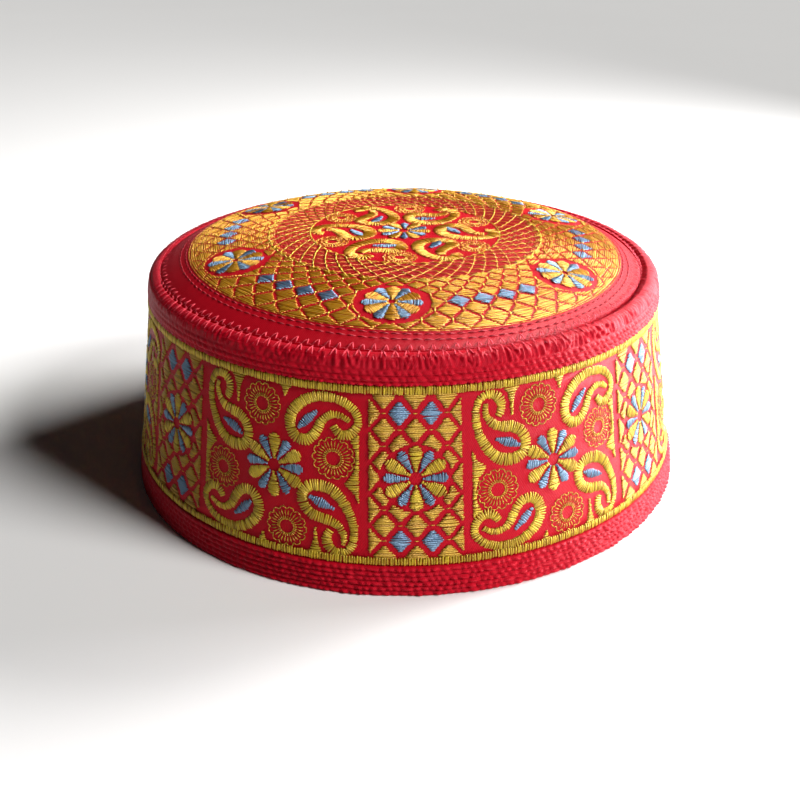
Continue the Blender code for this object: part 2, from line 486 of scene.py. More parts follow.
def moved(stitches, x=0.0, y=0.0, turn=0.0, size=1.0):
    """Stitches scaled, turned about the chart's middle and then moved."""
    cos, sin = math.cos(turn) * size, math.sin(turn) * size
    made = []
    for u0, v0, u1, v1 in stitches:
        start = (u0 * cos - v0 * sin + x, u0 * sin + v0 * cos + y)
        end = (u1 * cos - v1 * sin + x, u1 * sin + v1 * cos + y)
        made.append([*start, *end])
    return made


def drawn_out(stitches, reach):
    """Stitches made longer at both ends."""
    made = []
    for u0, v0, u1, v1 in stitches:
        share = reach / math.hypot(u1 - u0, v1 - v0)
        u, v = (u1 - u0) * share, (v1 - v0) * share
        made.append([u0 - u, v0 - v, u1 + u, v1 + v])
    return made


def petal_stitches(petal, turn, pitch):
    """Stitches across one petal: narrow at the flower's middle, widest near its round tip."""
    length = petal.outer - petal.inner
    shares = np.linspace(0.0, 1.0, 9)
    rounded = shares**0.8 * np.sqrt(1.0 - shares**petal.blunt)
    widths = petal.width * np.maximum(0.25, rounded / rounded.max())
    rows = [(petal.inner + length * s, 0.0, w) for s, w in zip(shares, widths)]
    return moved(satin(rows, pitch), turn=turn)


def flower(pitch, first_gold=math.pi / 2.0, gold_petal=GOLD_PETAL, blue_petal=BLUE_PETAL):
    """Twelve petals, gold and blue in turn."""
    gold, blue = [], []
    for step in range(6):
        gold += petal_stitches(gold_petal, first_gold + TURN * step / 6.0, pitch)
        blue += petal_stitches(blue_petal, first_gold + TURN * (step + 0.5) / 6.0, pitch)
    return Petals(gold, blue)


def polar(radius, angle):
    return (radius * math.cos(angle), radius * math.sin(angle))


def ring_of_threads(radius, count):
    """A circle of straight threads."""
    corners = [polar(radius, TURN * step / count) for step in range(count)]
    return [[*start, *end] for start, end in zip(corners, corners[1:] + corners[:1])]


# Lace of a rosette, from the middle outwards: ring, ticks, pairs of spokes and scalloped edge
ROSETTE_LOOPS = 14
ROSETTE_RING = 2.25
ROSETTE_TICK = (2.3, 3.2)
ROSETTE_SPOKE = (3.4, 5.0)
ROSETTE_EDGE = (5.25, 6.1)


def rosette():
    """Thin thread lace: a ring with ticks, and loops of two spokes each under a scalloped edge."""
    threads = ring_of_threads(ROSETTE_RING, ROSETTE_LOOPS)
    pitch = TURN / ROSETTE_LOOPS
    for step in range(ROSETTE_LOOPS):
        angle = pitch * step
        for aside in (-0.25, 0.25):
            spoke = angle + aside * pitch
            tick = [polar(reach, spoke) for reach in ROSETTE_TICK]
            leg = [polar(reach, spoke) for reach in ROSETTE_SPOKE]
            threads += [[*tick[0], *tick[1]], [*leg[0], *leg[1]]]
        low, high = ROSETTE_EDGE
        scallop = [polar(low, angle - 0.5 * pitch), polar(high, angle - 0.22 * pitch)]
        scallop += [polar(high, angle + 0.22 * pitch), polar(low, angle + 0.5 * pitch)]
        threads += [[*start, *end] for start, end in zip(scallop, scallop[1:])]
    return threads


def lattice_cell(column, row):
    """Outline of a cell: a diamond, or what the panel's sides and ends leave of one."""
    x, y = column * COLUMN_PITCH, row * ROW_PITCH
    wide, high = DIAMOND_HALF_WIDTH, DIAMOND_HALF_HEIGHT
    if abs(row) == LAST_ROW:
        edge = math.copysign(BAND_FIELD_HALF, row)
        point = (x, y - math.copysign(high, row))
        return [(x - wide, y), point, (x + wide, y), (x + wide, edge), (x - wide, edge)]
    if abs(column) == LAST_COLUMN:
        side = math.copysign(TRIANGLE_AT, column)
        point = (side - math.copysign(TRIANGLE_WIDTH, column), y)
        return [(side, y - TRIANGLE_HALF_HEIGHT), (side, y + TRIANGLE_HALF_HEIGHT), point]
    return [(x - wide, y), (x, y + high), (x + wide, y), (x, y - high)]


def lattice_panel(pitch):
    """Diamonds in rows and columns, cut clear of the flower that is sewn over them."""
    clearing = Clearing(0.0, 0.0, FLOWER_CLEARING, FLOWER_CLEARING, 0.0)
    gold, blue = [], []
    for row in range(-LAST_ROW, LAST_ROW + 1):
        for column in range(-LAST_COLUMN, LAST_COLUMN + 1):
            if (row + column) % 2 == 0:
                continue
            made = fill(lattice_cell(column, row), pitch, clearings=(clearing,), shortest=0.6)
            is_blue = abs(row) == LAST_ROW - 1 and abs(column) == 1
            (blue if is_blue else gold).extend(made)
    return Petals(gold, blue)


def lattice_ticks(length=1.2):
    """Thin threads over the places where the lattice's red lines cross."""
    ticks = []
    for row in range(1 - LAST_ROW, LAST_ROW):
        for column in range(1 - LAST_COLUMN, LAST_COLUMN):
            x, y = column * COLUMN_PITCH, row * ROW_PITCH
            if (row + column) % 2 == 0 and math.hypot(x, y) > FLOWER_CLEARING - 0.8:
                ticks.append([x - length / 2.0, y, x + length / 2.0, y])
    return ticks


def both_ways(stitches):
    """Stitches and their twins, turned half round the panel's middle and set a little lower."""
    return stitches + moved(stitches, *TWIN_SHIFT, turn=math.pi)


def flower_panel(pitch):
    """Paisleys in the corners, with wedges along the panel's edges."""
    gold = satin(LEFT_PAISLEY, pitch) + satin(RIGHT_PAISLEY, pitch)
    for outline in WEDGES:
        gold += fill(outline, pitch)
    blue = satin(LEFT_LEAF, pitch) + satin(RIGHT_LEAF, pitch)
    return Petals(both_ways(gold), both_ways(blue))


def cell_direction(row, column):
    """Direction of a cell of the lattice, whose rows are set half a column apart in turn."""
    return CROWN_TURN + TURN / CROWN_COLUMNS * (column + (0.5 if row % 2 == 0 else 0.0))


def crown_cell(row, column, inset):
    """Outline of a curved diamond between four crossings, drawn in from its red lines."""
    angle = cell_direction(row, column)
    radius = LATTICE_RADIUS * ROW_FACTOR ** row
    inner = radius / ROW_FACTOR + inset
    outer = min(radius * ROW_FACTOR - inset, FIELD_EDGE)
    side = HALF_COLUMN - inset * SIDE_INSET / radius
    radius = min(radius, FIELD_EDGE)
    left, right = polar(radius, angle + side), polar(radius, angle - side)
    return [polar(inner, angle), left, polar(outer, angle), right]


def crown_clearings():
    """Ovals that the crown's flowers keep clear."""
    made = []
    for step in range(CROWN_FLOWERS):
        angle = CROWN_TURN + TURN * step / CROWN_FLOWERS
        x, y = polar(LATTICE_RADIUS, angle)
        made.append(Clearing(x, y, *CROWN_CLEARING, angle))
    return made


def crown_lattice(pitch, inset=0.86):
    """Cells of the lattice, each filled with stitches that run round the crown."""
    clearings = crown_clearings()
    per_flower = CROWN_COLUMNS // CROWN_FLOWERS
    gold, blue = [], []
    for row in LATTICE_ROWS:
        for column in range(CROWN_COLUMNS):
            outline = crown_cell(row, column, inset)
            x, y = outline[0]
            near = [c for c in clearings if math.hypot(x - c.x, y - c.y) < CLEARING_REACH]
            turn = cell_direction(row, column) + math.pi / 2.0
            made = drawn_out(fill(outline, pitch, turn=turn, clearings=near), CELL_OVERHANG)
            is_blue = row == 0 and column % per_flower in BLUE_CELLS
            (blue if is_blue else gold).extend(made)
    return Petals(gold, blue)


def spiral(start_angle, low, high, count, sense):
    """A thread that turns as it runs outwards, as a chain of straight stitches."""
    radii = np.geomspace(low, high, count + 1)
    angles = start_angle + sense * np.log(radii / high)
    ends = np.array([polar(radius, angle) for radius, angle in zip(radii, angles)])
    lap = (ends[1:] - ends[:-1]) * 0.06
    return np.hstack([ends[:-1] - lap, ends[1:] + lap]).tolist()


def crown_net(sense):
    """One set of fine spiral threads over the plain ring between lattice and motif."""
    threads = []
    for column in range(CROWN_COLUMNS):
        angle = CROWN_TURN + TURN / CROWN_COLUMNS * (column + 0.5)
        threads += spiral(angle, MOTIF_EDGE, NET_EDGE + 0.6, 6, sense)
    return threads


def net_rings():
    """Close rings of fine thread that tint the net's ground."""
    threads = []
    for radius in np.arange(MOTIF_EDGE + NET_PITCH, NET_EDGE, NET_PITCH):
        threads += ring_of_threads(radius, round(TURN * radius / NET_THREAD))
    return threads


def crown_crossings(length=1.3):
    """A tick of gold thread over each crossing of the lattice's red lines."""
    ticks = []
    clearings = crown_clearings()
    for row in range(-3, 3):
        radius = LATTICE_RADIUS * ROW_FACTOR ** row
        for column in range(CROWN_COLUMNS):
            angle = CROWN_TURN + HALF_COLUMN * (2 * column + (0 if row % 2 == 0 else 1))
            x, y = polar(radius, angle)
            if any(math.hypot(x - c.x, y - c.y) < max(CROWN_CLEARING) for c in clearings):
                continue
            ticks.append([*polar(radius - length / 2, angle), *polar(radius + length / 2, angle)])
    return ticks


def crown_motif(pitch):
    """Middle of the crown: a flower, with six paisleys round it."""
    petals = flower(pitch, first_gold=0.0)
    gold, blue = (moved(part, *MOTIF_SHIFT, size=MOTIF_FLOWER_SIZE) for part in petals)
    for step in range(6):
        for stitches, rows in ((gold, MOTIF_PAISLEY), (blue, MOTIF_LEAF)):
            bold = [(x, y, width * MOTIF_BOLDNESS) for x, y, width in rows]
            stitches += moved(satin(bold, pitch), turn=TURN * step / 6.0)
    return Petals(gold, blue)


# Nodes

class Value:
    """A node tree's socket that takes part in Python expressions."""

    def __init__(self, tree, socket):
        self.tree = tree
        self.socket = socket

    def part(self, index):
        """Another output of the node that this value comes from."""
        return Value(self.tree, self.socket.node.outputs[index])

    def maths(self, operation, *values):
        return make_node(self.tree, "ShaderNodeMath", {"operation": operation}, *values)

    def __add__(self, other):
        return self.maths("ADD", self, other)

    def __sub__(self, other):
        return self.maths("SUBTRACT", self, other)

    def __rsub__(self, other):
        return self.maths("SUBTRACT", other, self)

    def __mul__(self, other):
        return self.maths("MULTIPLY", self, other)

    def __pow__(self, other):
        return self.maths("POWER", self, other)

    def __rpow__(self, other):
        return self.maths("POWER", other, self)

    __radd__ = __add__
    __rmul__ = __mul__

    def sine(self):
        return self.maths("SINE", self)


def plug(tree, value, socket):
    """Link a value to a socket, or set the socket to a plain number or colour."""
    if isinstance(value, Value):
        tree.links.new(value.socket, socket)
    else:
        socket.default_value = value


def make_node(tree, kind, settings, *values, output=0, **named):
    """One node with its settings, and its inputs in order or by name; None leaves one as it is."""
    node = tree.nodes.new(kind)
    for name, setting in settings.items():
        setattr(node, name, setting)
    for socket, value in zip(node.inputs, values):
        if value is not None:
            plug(tree, value, socket)
    for name, value in named.items():
        plug(tree, value, node.inputs[name.replace("_", " ")])
    return Value(tree, node.outputs[output])


def blended(tree, share, first, second):
    """A colour between two others."""
    other_kinds = [None] * 5
    settings = {"data_type": "RGBA"}
    return make_node(tree, "ShaderNodeMix", settings, share, *other_kinds, first, second, output=2)


def new_material(name, **constants):
    made = bpy.data.materials.new(name)
    made.use_nodes = True
    shader = made.node_tree.nodes["Principled BSDF"]
    for socket, value in constants.items():
        shader.inputs[socket.replace("_", " ")].default_value = value
    return made, made.node_tree, shader


def attribute(tree, name):
    """A number that is stored on the mesh."""
    return make_node(tree, "ShaderNodeAttribute", {"attribute_name": name}, output=2)


def noise(tree, place, scale, detail=2.0):
    return make_node(tree, "ShaderNodeTexNoise", {}, Vector=place, Scale=scale, Detail=detail)


def object_place(tree):
    return make_node(tree, "ShaderNodeTexCoord", {}, output=3)


def bumped(tree, shader, height, distance):
    normal = make_node(tree, "ShaderNodeBump", {}, Strength=1.0, Distance=distance, Height=height)
    plug(tree, normal, shader.inputs["Normal"])


def scaled(colour, factor):
    """A colour made lighter or darker, as a socket takes it."""
    return (*(min(1.0, part * factor) for part in colour[:3]), 1.0)


# A cloth's colour in the panel, and the repeat of its ribs in millimetres
Cloth = namedtuple("Cloth", "colour twill")
CLOTHS = {
    "Red Cloth": Cloth("cloth", 0.36),
    "Twill Ground": Cloth("ground", 0.38),
}
CLOTH_SHEEN = (1.0, 0.32, 0.44, 1.0)
CLOTH_SHINE = (1.0, 0.32, 0.46, 1.0)
WEAVE_DEPTH = 0.05 * MM
PATCH_SCALE = 60.0
GRAIN_SCALE = 900.0

# A thread's shaded and lit colour in the panel, which paint light and shade on its stitches, the tint
# of its gloss, how rough it is, and the slot of what is sewn with it
Thread = namedtuple("Thread", "deep lit shine roughness slot")
GOLD_SHINE = (1.0, 0.94, 0.66, 1.0)
BLUE_SHINE = (0.85, 0.95, 1.0, 1.0)
RED_SHINE = (1.0, 0.35, 0.42, 1.0)
THREADS = {
    "Gold Thread": Thread("gold_dark", "gold", GOLD_SHINE, 0.30, "gold_thread"),
    # The cells' gold is the gold thread made darker: painted shade on cells whose stitches catch little
    # light
    "Cell Gold Thread": Thread("cell_gold_dark", "cell_gold", GOLD_SHINE, 0.30, "gold_thread"),
    "Deep Gold Thread": Thread("crown_gold_dark", "crown_gold", GOLD_SHINE, 0.30, "gold_thread"),
    "Net Thread": Thread("net_dark", "net", RED_SHINE, 0.45, "gold_thread"),
    "Blue Thread": Thread("blue_dark", "blue", BLUE_SHINE, 0.30, "blue_thread"),
    "Seam Thread": Thread("seam_dark", "seam", RED_SHINE, 0.45, "red_cloth"),
    # The running rows' thread is the cloth's own red painted darker: painted shade of dashes sunk into
    # the cloth
    "Running Thread": Thread("running_dark", "running", RED_SHINE, 0.5, "red_cloth"),
    "Quilting Thread": Thread("seam_dark", "cloth", RED_SHINE, 0.5, "red_cloth"),
}
PLIES_PER_METRE = 2600.0
PLY_DEPTH = 0.03 * MM

FINISHES = {}


def colours():
    return bpy.context.scene.cap_colours


def sizes():
    return bpy.context.scene.cap_sizes


def cloth_material(name, cloth):
    """Satin twill: fine diagonal ribs, soft unevenness and a faint red sheen."""
    made, tree, shader = new_material(
        name, Sheen_Weight=0.04, Sheen_Roughness=0.30, Sheen_Tint=CLOTH_SHEEN,
        Specular_Tint=CLOTH_SHINE, Specular_IOR_Level=0.20)
    weave = make_node(tree, "ShaderNodeUVMap", {"uv_map": "Weave"})
    across = make_node(tree, "ShaderNodeSeparateXYZ", {}, weave)
    up = across.part(1)
    rib = ((across + up) * (TURN / cloth.twill)).sine()
    cross = ((across - up * 0.6) * (TURN / (cloth.twill * 1.7))).sine()
    place = object_place(tree)
    patches = noise(tree, place, PATCH_SCALE)
    grain = noise(tree, place, GRAIN_SCALE, 3.0)
    tone = patches * 0.35 + grain * 0.25 + rib * 0.12 + cross * 0.05 + 0.2
    colour = getattr(colours(), cloth.colour)
    mixed = blended(tree, tone, scaled(colour, 0.62), scaled(colour, 1.25))
    plug(tree, mixed, shader.inputs["Base Color"])
    bumped(tree, shader, rib * 0.5 + cross * 0.3 + grain * 0.6, WEAVE_DEPTH)
    plug(tree, patches * 0.2 + 0.36, shader.inputs["Roughness"])
    return made


def thread_material(name, thread):
    """Glossy rayon thread with plies turning along it, its colour painted with light and shade: each
    stitch's random tone and the plies mix the thread's shaded and lit colours.
    """
    made, tree, shader = new_material(
        name, Metallic=0.45, IOR=1.8, Specular_IOR_Level=1.0, Specular_Tint=thread.shine)
    tone = attribute(tree, "tone")
    along = attribute(tree, "along_share")
    around = attribute(tree, "around_share")
    length = attribute(tree, "stitch_length")
    plies = ((along * length * PLIES_PER_METRE + around * 2.0) * TURN).sine()
    # Painted light and shade: the stitch's random tone and the plies' turns mix the shaded and the lit
    # copy of the thread's colour
    deep, lit = (scaled(getattr(colours(), label), 1.0) for label in (thread.deep, thread.lit))
    mixed = blended(tree, tone * 0.50 + plies * 0.10 + 0.22, deep, lit)
    plug(tree, mixed, shader.inputs["Base Color"])
    bumped(tree, shader, plies, PLY_DEPTH)
    plug(tree, tone * 0.16 + (thread.roughness - 0.06), shader.inputs["Roughness"])
    return made


def finish(name):
    """One of the cap's materials, made when it is first asked for."""
    if name not in FINISHES:
        if name in THREADS:
            FINISHES[name] = thread_material(name, THREADS[name])
        else:
            FINISHES[name] = cloth_material(name, CLOTHS[name])
    return FINISHES[name]


# Stitches, made by Geometry Nodes from a point for each

def geometry_tree(name, inputs):
    tree = bpy.data.node_groups.new(name, "GeometryNodeTree")
    tree.interface.new_socket("Geometry", in_out="INPUT", socket_type="NodeSocketGeometry")
    for label, kind, value in inputs:
        socket = tree.interface.new_socket(label, in_out="INPUT", socket_type=kind)
        if value is not None:
            socket.default_value = value
    tree.interface.new_socket("Geometry", in_out="OUTPUT", socket_type="NodeSocketGeometry")
    return tree


def stored(tree, geometry, name, value):
    settings = {"data_type": "FLOAT", "domain": "POINT"}
    kind = "GeometryNodeStoreNamedAttribute"
    return make_node(tree, kind, settings, Geometry=geometry, Name=name, Value=value)


def read(tree, name, kind="FLOAT"):
    return make_node(tree, "GeometryNodeInputNamedAttribute", {"data_type": kind}, Name=name)


def stitch_tree():
    """Lays a raised, tapering strand on every point, along its stitch."""
    if "Stitches" in bpy.data.node_groups:
        return bpy.data.node_groups["Stitches"]
    tree = geometry_tree("Stitches", (
        ("Rings", "NodeSocketInt", 5),
        ("Sides", "NodeSocketInt", 4),
        ("Arch", "NodeSocketFloat", 0.6),
        ("Thread", "NodeSocketMaterial", None),
    ))
    points = make_node(tree, "NodeGroupInput", {})
    rings, sides, arch, thread = (points.part(index) for index in (1, 2, 3, 4))
    rod = make_node(
        tree, "GeometryNodeMeshCylinder", {"fill_type": "NGON"}, Vertices=sides,
        Side_Segments=rings - 1.0, Radius=0.5, Depth=1.0,
    )
    spot = make_node(tree, "GeometryNodeInputPosition", {})
    across = make_node(tree, "ShaderNodeSeparateXYZ", {}, spot)
    up, along = across.part(1), across.part(2)
    far = (along * math.pi).sine()
    reach = far ** 4.0
    narrow = 1.0 - reach * 0.45
    place = make_node(
        tree, "ShaderNodeCombineXYZ", {}, X=far * 0.5, Y=across * narrow,
        Z=up * narrow * 0.5 + arch * (1.0 - reach),
    )
    rod = stored(tree, rod, "along_share", far * 0.5 + 0.5)
    rod = stored(tree, rod, "around_share", across + up)
    strand = make_node(tree, "GeometryNodeSetPosition", {}, Geometry=rod, Position=place)
    turn = make_node(
        tree, "FunctionNodeAxesToRotation", {"primary_axis": "X", "secondary_axis": "Z"},
        read(tree, "along", "FLOAT_VECTOR"), read(tree, "out", "FLOAT_VECTOR"),
    )
    laid = make_node(
        tree, "GeometryNodeInstanceOnPoints", {}, Points=points, Instance=strand, Rotation=turn,
        Scale=read(tree, "size", "FLOAT_VECTOR"),
    )
    whole = make_node(tree, "GeometryNodeRealizeInstances", {}, Geometry=laid)
    smooth = make_node(tree, "GeometryNodeSetShadeSmooth", {}, Geometry=whole)
    dressed = make_node(tree, "GeometryNodeSetMaterial", {}, Geometry=smooth, Material=thread)
    leave = tree.nodes.new("NodeGroupOutput")
    plug(tree, dressed, leave.inputs[0])
    return tree


def add_object(name, data):
    made = bpy.data.objects.new(name, data)
    bpy.context.scene.collection.objects.link(made)
    return made


def through_nodes(made, tree, **settings):
    """Run an object through a node tree and keep the plain mesh that comes out."""
    modifier = made.modifiers.new("Nodes", "NODES")
    modifier.node_group = tree
    for item in tree.interface.items_tree:
        if item.in_out == "INPUT" and item.name in settings:
            modifier[item.identifier] = settings[item.name]
    bpy.context.view_layer.update()
    evaluated = made.evaluated_get(bpy.context.evaluated_depsgraph_get())
    mesh = bpy.data.meshes.new_from_object(evaluated)
    made.modifiers.remove(modifier)
    made.data = mesh
    mesh.name = made.name
    return made


def dress(made, slot, *nodes):
    """Hand a finished piece to the frame, with the solids that it stands for."""
    if not made.data.polygons:
        raise RuntimeError(f"{made.name} came out without faces")
    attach(made, "root")
    if nodes:
        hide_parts(*nodes)
    return made


def point_cloud(name, places, vectors, numbers):
    """Loose points, with a vector and a number of each kind stored on every one."""
    mesh = bpy.data.meshes.new(name)
    mesh.from_pydata(places.tolist(), [], [])
    for label, values in vectors.items():
        data = mesh.attributes.new(label, "FLOAT_VECTOR", "POINT").data
        data.foreach_set("vector", values.astype(np.float32).ravel())
    for label, values in numbers.items():
        mesh.attributes.new(label, "FLOAT", "POINT").data.foreach_set("value", values.astype(np.float32))
    return add_object(name, mesh)


# A thread's width, height and the level it lies at, in metres; its strand's rings; how unevenly
# its stitches end, in millimetres of the chart; and how far they arch, as a share of the height
Yarn = namedtuple("Yarn", "width height base rings jitter arch", defaults=(0.6,))
FINE_YARN = Yarn(width=0.32 * MM, height=0.32 * MM, base=0.08 * MM, rings=3, jitter=0.03)
SIDE_LACE_YARN = FINE_YARN._replace(width=0.33 * MM, height=0.36 * MM)
CROWN_LACE_YARN = FINE_YARN._replace(width=0.44 * MM, height=0.40 * MM)
LINE_YARN = FINE_YARN._replace(width=0.52 * MM, height=0.44 * MM)
KNOT_YARN = FINE_YARN._replace(width=0.58 * MM, height=0.72 * MM)
NET_YARN = Yarn(width=0.34 * MM, height=0.16 * MM, base=0.0, rings=3, jitter=0.06)
RUNNING_YARN = Yarn(width=0.56 * MM, height=0.34 * MM, base=0.02 * MM, rings=3, jitter=0.04)
OVERCAST_YARN = Yarn(width=0.42 * MM, height=0.36 * MM, base=0.40 * MM, rings=3, jitter=0.10)
QUILTING_YARN = Yarn(width=0.42 * MM, height=0.30 * MM, base=-0.45 * MM, rings=3, jitter=0.05)
JOIN_YARN = Yarn(width=0.45 * MM, height=0.30 * MM, base=0.0, rings=3, jitter=0.04)


def satin_yarn():
    """The thread of the satin stitches, whose sizes the panel holds."""
    size = sizes()
    return Yarn(size.thread_width, size.satin_height, 0.08 * MM, 5, 0.09)


def sew(name, surface, stitches, yarn, material, seed):
    """Sew a chart's stitches on a surface as one piece."""
    chance = np.random.default_rng(seed)
    ends = np.array(stitches, float)
    ends += chance.normal(0.0, yarn.jitter, ends.shape)
    start = surface.place(ends[:, 0], ends[:, 1], yarn.base)
    end = surface.place(ends[:, 2], ends[:, 3], yarn.base)
    along = end - start
    length = np.linalg.norm(along, axis=1)
    middle_u, middle_v = (ends[:, 0] + ends[:, 2]) / 2.0, (ends[:, 1] + ends[:, 3]) / 2.0
    # A random number for each stitch, which its thread's material turns into painted light and shade
    tone = chance.random(len(ends))
    height = yarn.height * (0.9 + 0.2 * chance.random(len(ends)))
    size = np.column_stack([length, np.full_like(length, yarn.width), height])
    vectors = {"along": along / length[:, None], "out": surface.out(middle_u, middle_v), "size": size}
    numbers = {"tone": tone, "stitch_length": length}
    made = point_cloud(name, (start + end) / 2.0, vectors, numbers)
    return through_nodes(made, stitch_tree(), Rings=yarn.rings, Arch=yarn.arch, Thread=material)


def embroider(name, surface, stitches, yarn, thread, seed, *nodes):
    """Sew stitches as a finished piece."""
    made = sew(name, surface, stitches, yarn, finish(thread), seed)
    dress(made, THREADS[thread].slot, *nodes)


# Cloth, as closed turned shells

def shell(name, rings, shifts, steps, material, relief):
    """A closed shell through rings of radius and height, which the relief then changes."""
    angles = np.arange(steps) * TURN / steps
    radii = np.array([ring[0] for ring in rings])[:, None] * np.ones(steps)
    heights = np.array([ring[1] for ring in rings])[:, None] * np.ones(steps)
    radii, heights = relief(radii, heights, angles)
    places = turned(radii, angles[None, :], heights, np.array(shifts)[:, None])
    count = len(rings)
    index = np.arange(count * steps).reshape(count, steps)
    after, right = np.roll(index, -1, axis=0), np.roll(index, -1, axis=1)
    faces = np.stack([index, right, np.roll(after, -1, axis=1), after], axis=-1).reshape(-1, 4)
    mesh = bpy.data.meshes.new(name)
    mesh.from_pydata(places.reshape(-1, 3).tolist(), [], faces.tolist())
    run = np.concatenate([[0.0], np.cumsum(np.hypot(np.diff(radii[:, 0]), np.diff(heights[:, 0])))])
    weave_map(mesh, faces, steps, np.append(run, run[-1] + 1.0 * MM), radii[:, 0].mean())
    mesh.materials.append(material)
    mesh.shade_smooth()
    mesh.validate()
    return add_object(name, mesh)


def weave_map(mesh, faces, steps, run, radius):
    """The cloth's own map, in millimetres round and along it."""
    ring, step = faces // steps, faces % steps
    first_ring, first_step = ring[:, :1], step[:, :1]
    ring = first_ring + (ring != first_ring)
    step = first_step + (step != first_step)
    spots = np.stack([step * TURN * radius / steps, run[ring]], axis=-1) / MM
    mesh.uv_layers.new(name="Weave").data.foreach_set("uv", spots.astype(np.float32).ravel())


def wandering(angle, count, seed):
    """A smooth random number between -1 and 1 that closes on itself round the cap."""
    chance = np.random.default_rng(seed)
    knots = chance.uniform(-1.0, 1.0, count)
    place = np.mod(angle, TURN) / TURN * count
    low = np.floor(place).astype(int) % count
    share = place - np.floor(place)
    share = share * share * (3.0 - 2.0 * share)
    return knots[low] * (1.0 - share) + knots[(low + 1) % count] * share


# How finely the hem's rows and the quilting's puffs are built
RINGS_PER_ROW = 6
STEPS_PER_PUFF = 5


def pillow(phase, softness):
    """A row of puffs: 0 at whole numbers, 1 half way between them."""
    return np.abs(np.sin(math.pi * phase)) ** softness


def quilted_hem():
    """Hem cloth: rows of stitching with staggered puffs between them, as bricks lie."""
    size = sizes()
    rows, puffs = size.hem_rows, size.hem_puffs
    heights = np.linspace(0.0, HEM_HIGH, rows * RINGS_PER_ROW + 1)
    inside = [(wall_radius(h) - WALL_THICKNESS, h) for h in (HEM_HIGH, HEM_HIGH * 0.5, 0.0)]
    rings = [(wall_radius(h), h) for h in heights] + inside

    def relief(radii, levels, angles):
        row = np.clip(levels / HEM_HIGH * rows, 0.0, rows - 1e-6)
        which = np.floor(row)
        across = pillow(row, 0.7)
        drift = 0.5 * wandering(angles[None, :] + which, 150, 3)
        along = pillow(puffs * angles[None, :] / TURN + 0.5 * row + drift, 0.6)
        uneven = 1.0 + 0.3 * wandering(angles[None, :] + 1.7 * which, 240, 5)
        full = size.hem_puff * np.clip(puckering(angles[None, :]) + 0.05, 0.15, 1.0)
        puff = full * across * (0.12 + 0.88 * along) * uneven - 0.25 * MM
        puff[len(heights):] = 0.0
        return radii + puff, levels

    steps = puffs * STEPS_PER_PUFF
    return shell("hem_cloth", rings, [0.0] * len(rings), steps, finish("Red Cloth"), relief)


# Rows of stitching that pull the margin in, as shares of its height
QUILT_ROWS = (-0.06, 0.14, 0.34, 0.54)

# The side where the margin is pulled in most
PUCKERED_SIDE = math.radians(-48.0)


def puckering(angle):
    """How strongly the quilting puckers the cloth at a direction: little at the left and the back."""
    side = np.clip(0.42 + 0.70 * np.cos(angle - PUCKERED_SIDE), 0.12, 1.0)
    return side * (1.0 + 0.15 * wandering(angle, 14, 11))


def rim_cloth():
    """Upper margin: pulled in by rows of stitching, puckered, and rolled over into the rim."""
    size = sizes()
    path = smooth_path(MARGIN_ROWS, 0.026)
    foot = BAND_HIGH + SEAM_GAP
    seat = CROWN_RING.radius + SEAM_GAP
    levels = BAND_HIGH + MARGIN_HEIGHT * path[:, 0]
    rings = [(wall_radius(foot), foot)]
    rings += [(wall_radius(h) - ROLL_WIDTH * a, h) for h, a in zip(levels, path[:, 1])]
    shifts = [0.0, *path[:, 2]]
    outside_count = len(rings)
    inner_foot = wall_radius(foot) - WALL_THICKNESS
    rings += [(seat, RIM_TOP - 2.0 * MM), (seat, CROWN_LOW)]
    rings += [(inner_foot, (foot + CROWN_LOW) / 2.0), (inner_foot, foot)]
    shifts += [1.0, 1.0, 0.0, 0.0]
    up = np.array([0.0, *path[:, 0]])[:, None]
    over = np.array([0.0, *path[:, 1]])[:, None]

    def relief(radii, heights, angles):
        a = angles[None, :]
        # Puffs between the rows of stitching, staggered as bricks lie
        row = np.interp(up, QUILT_ROWS, np.arange(len(QUILT_ROWS)))
        which = np.floor(row)
        across = pillow(row, 0.8)
        drift = 0.45 * wandering(a, 120, 12) + 0.25 * wandering(a + which, 260, 13)
        round_share = size.margin_puckers * a / TURN + drift
        puffs = pillow(round_share + 0.5 * row, 0.55)
        quilted = (0.25 + 0.75 * across) * puffs + 0.15 * across - 0.45
        # Folds that run up over the roll
        lean = 0.9 * wandering(a, 150, 14)
        folds = pillow(1.1 * round_share + lean * (up + over) * 2.0, 0.6)
        folds += 0.5 * np.sin(TURN * (0.57 * round_share - lean * up * 3.0)) - 0.5
        # Puffs hold up to the last row, and folds from there to the top of the roll
        last = QUILT_ROWS[-1]
        lower = ramp(up, last, last - 0.05)
        upper = ramp(up, last, last + 0.08) * ramp(over, 0.90, 0.40)
        uneven = 1.0 + 0.35 * wandering(a + 1.3 * which, 260, 15)
        change = puckering(a) * uneven * (lower * quilted + 0.75 * upper * folds)
        made, lowered = radii.copy(), heights.copy()
        made[1:outside_count] += (change * size.margin_depth)[1:]
        # The roll's inner side sinks beside the seam
        groove = ramp(over, 0.62, 0.92) * ramp(np.cos(a - DEEP_SIDE), -0.35, 0.65)
        lowered[:outside_count] -= groove * size.groove_depth + sinking(a, over)
        return made, lowered

    steps = size.margin_puckers * STEPS_PER_PUFF
    return shell("rim_cloth", rings, shifts, steps, finish("Red Cloth"), relief)


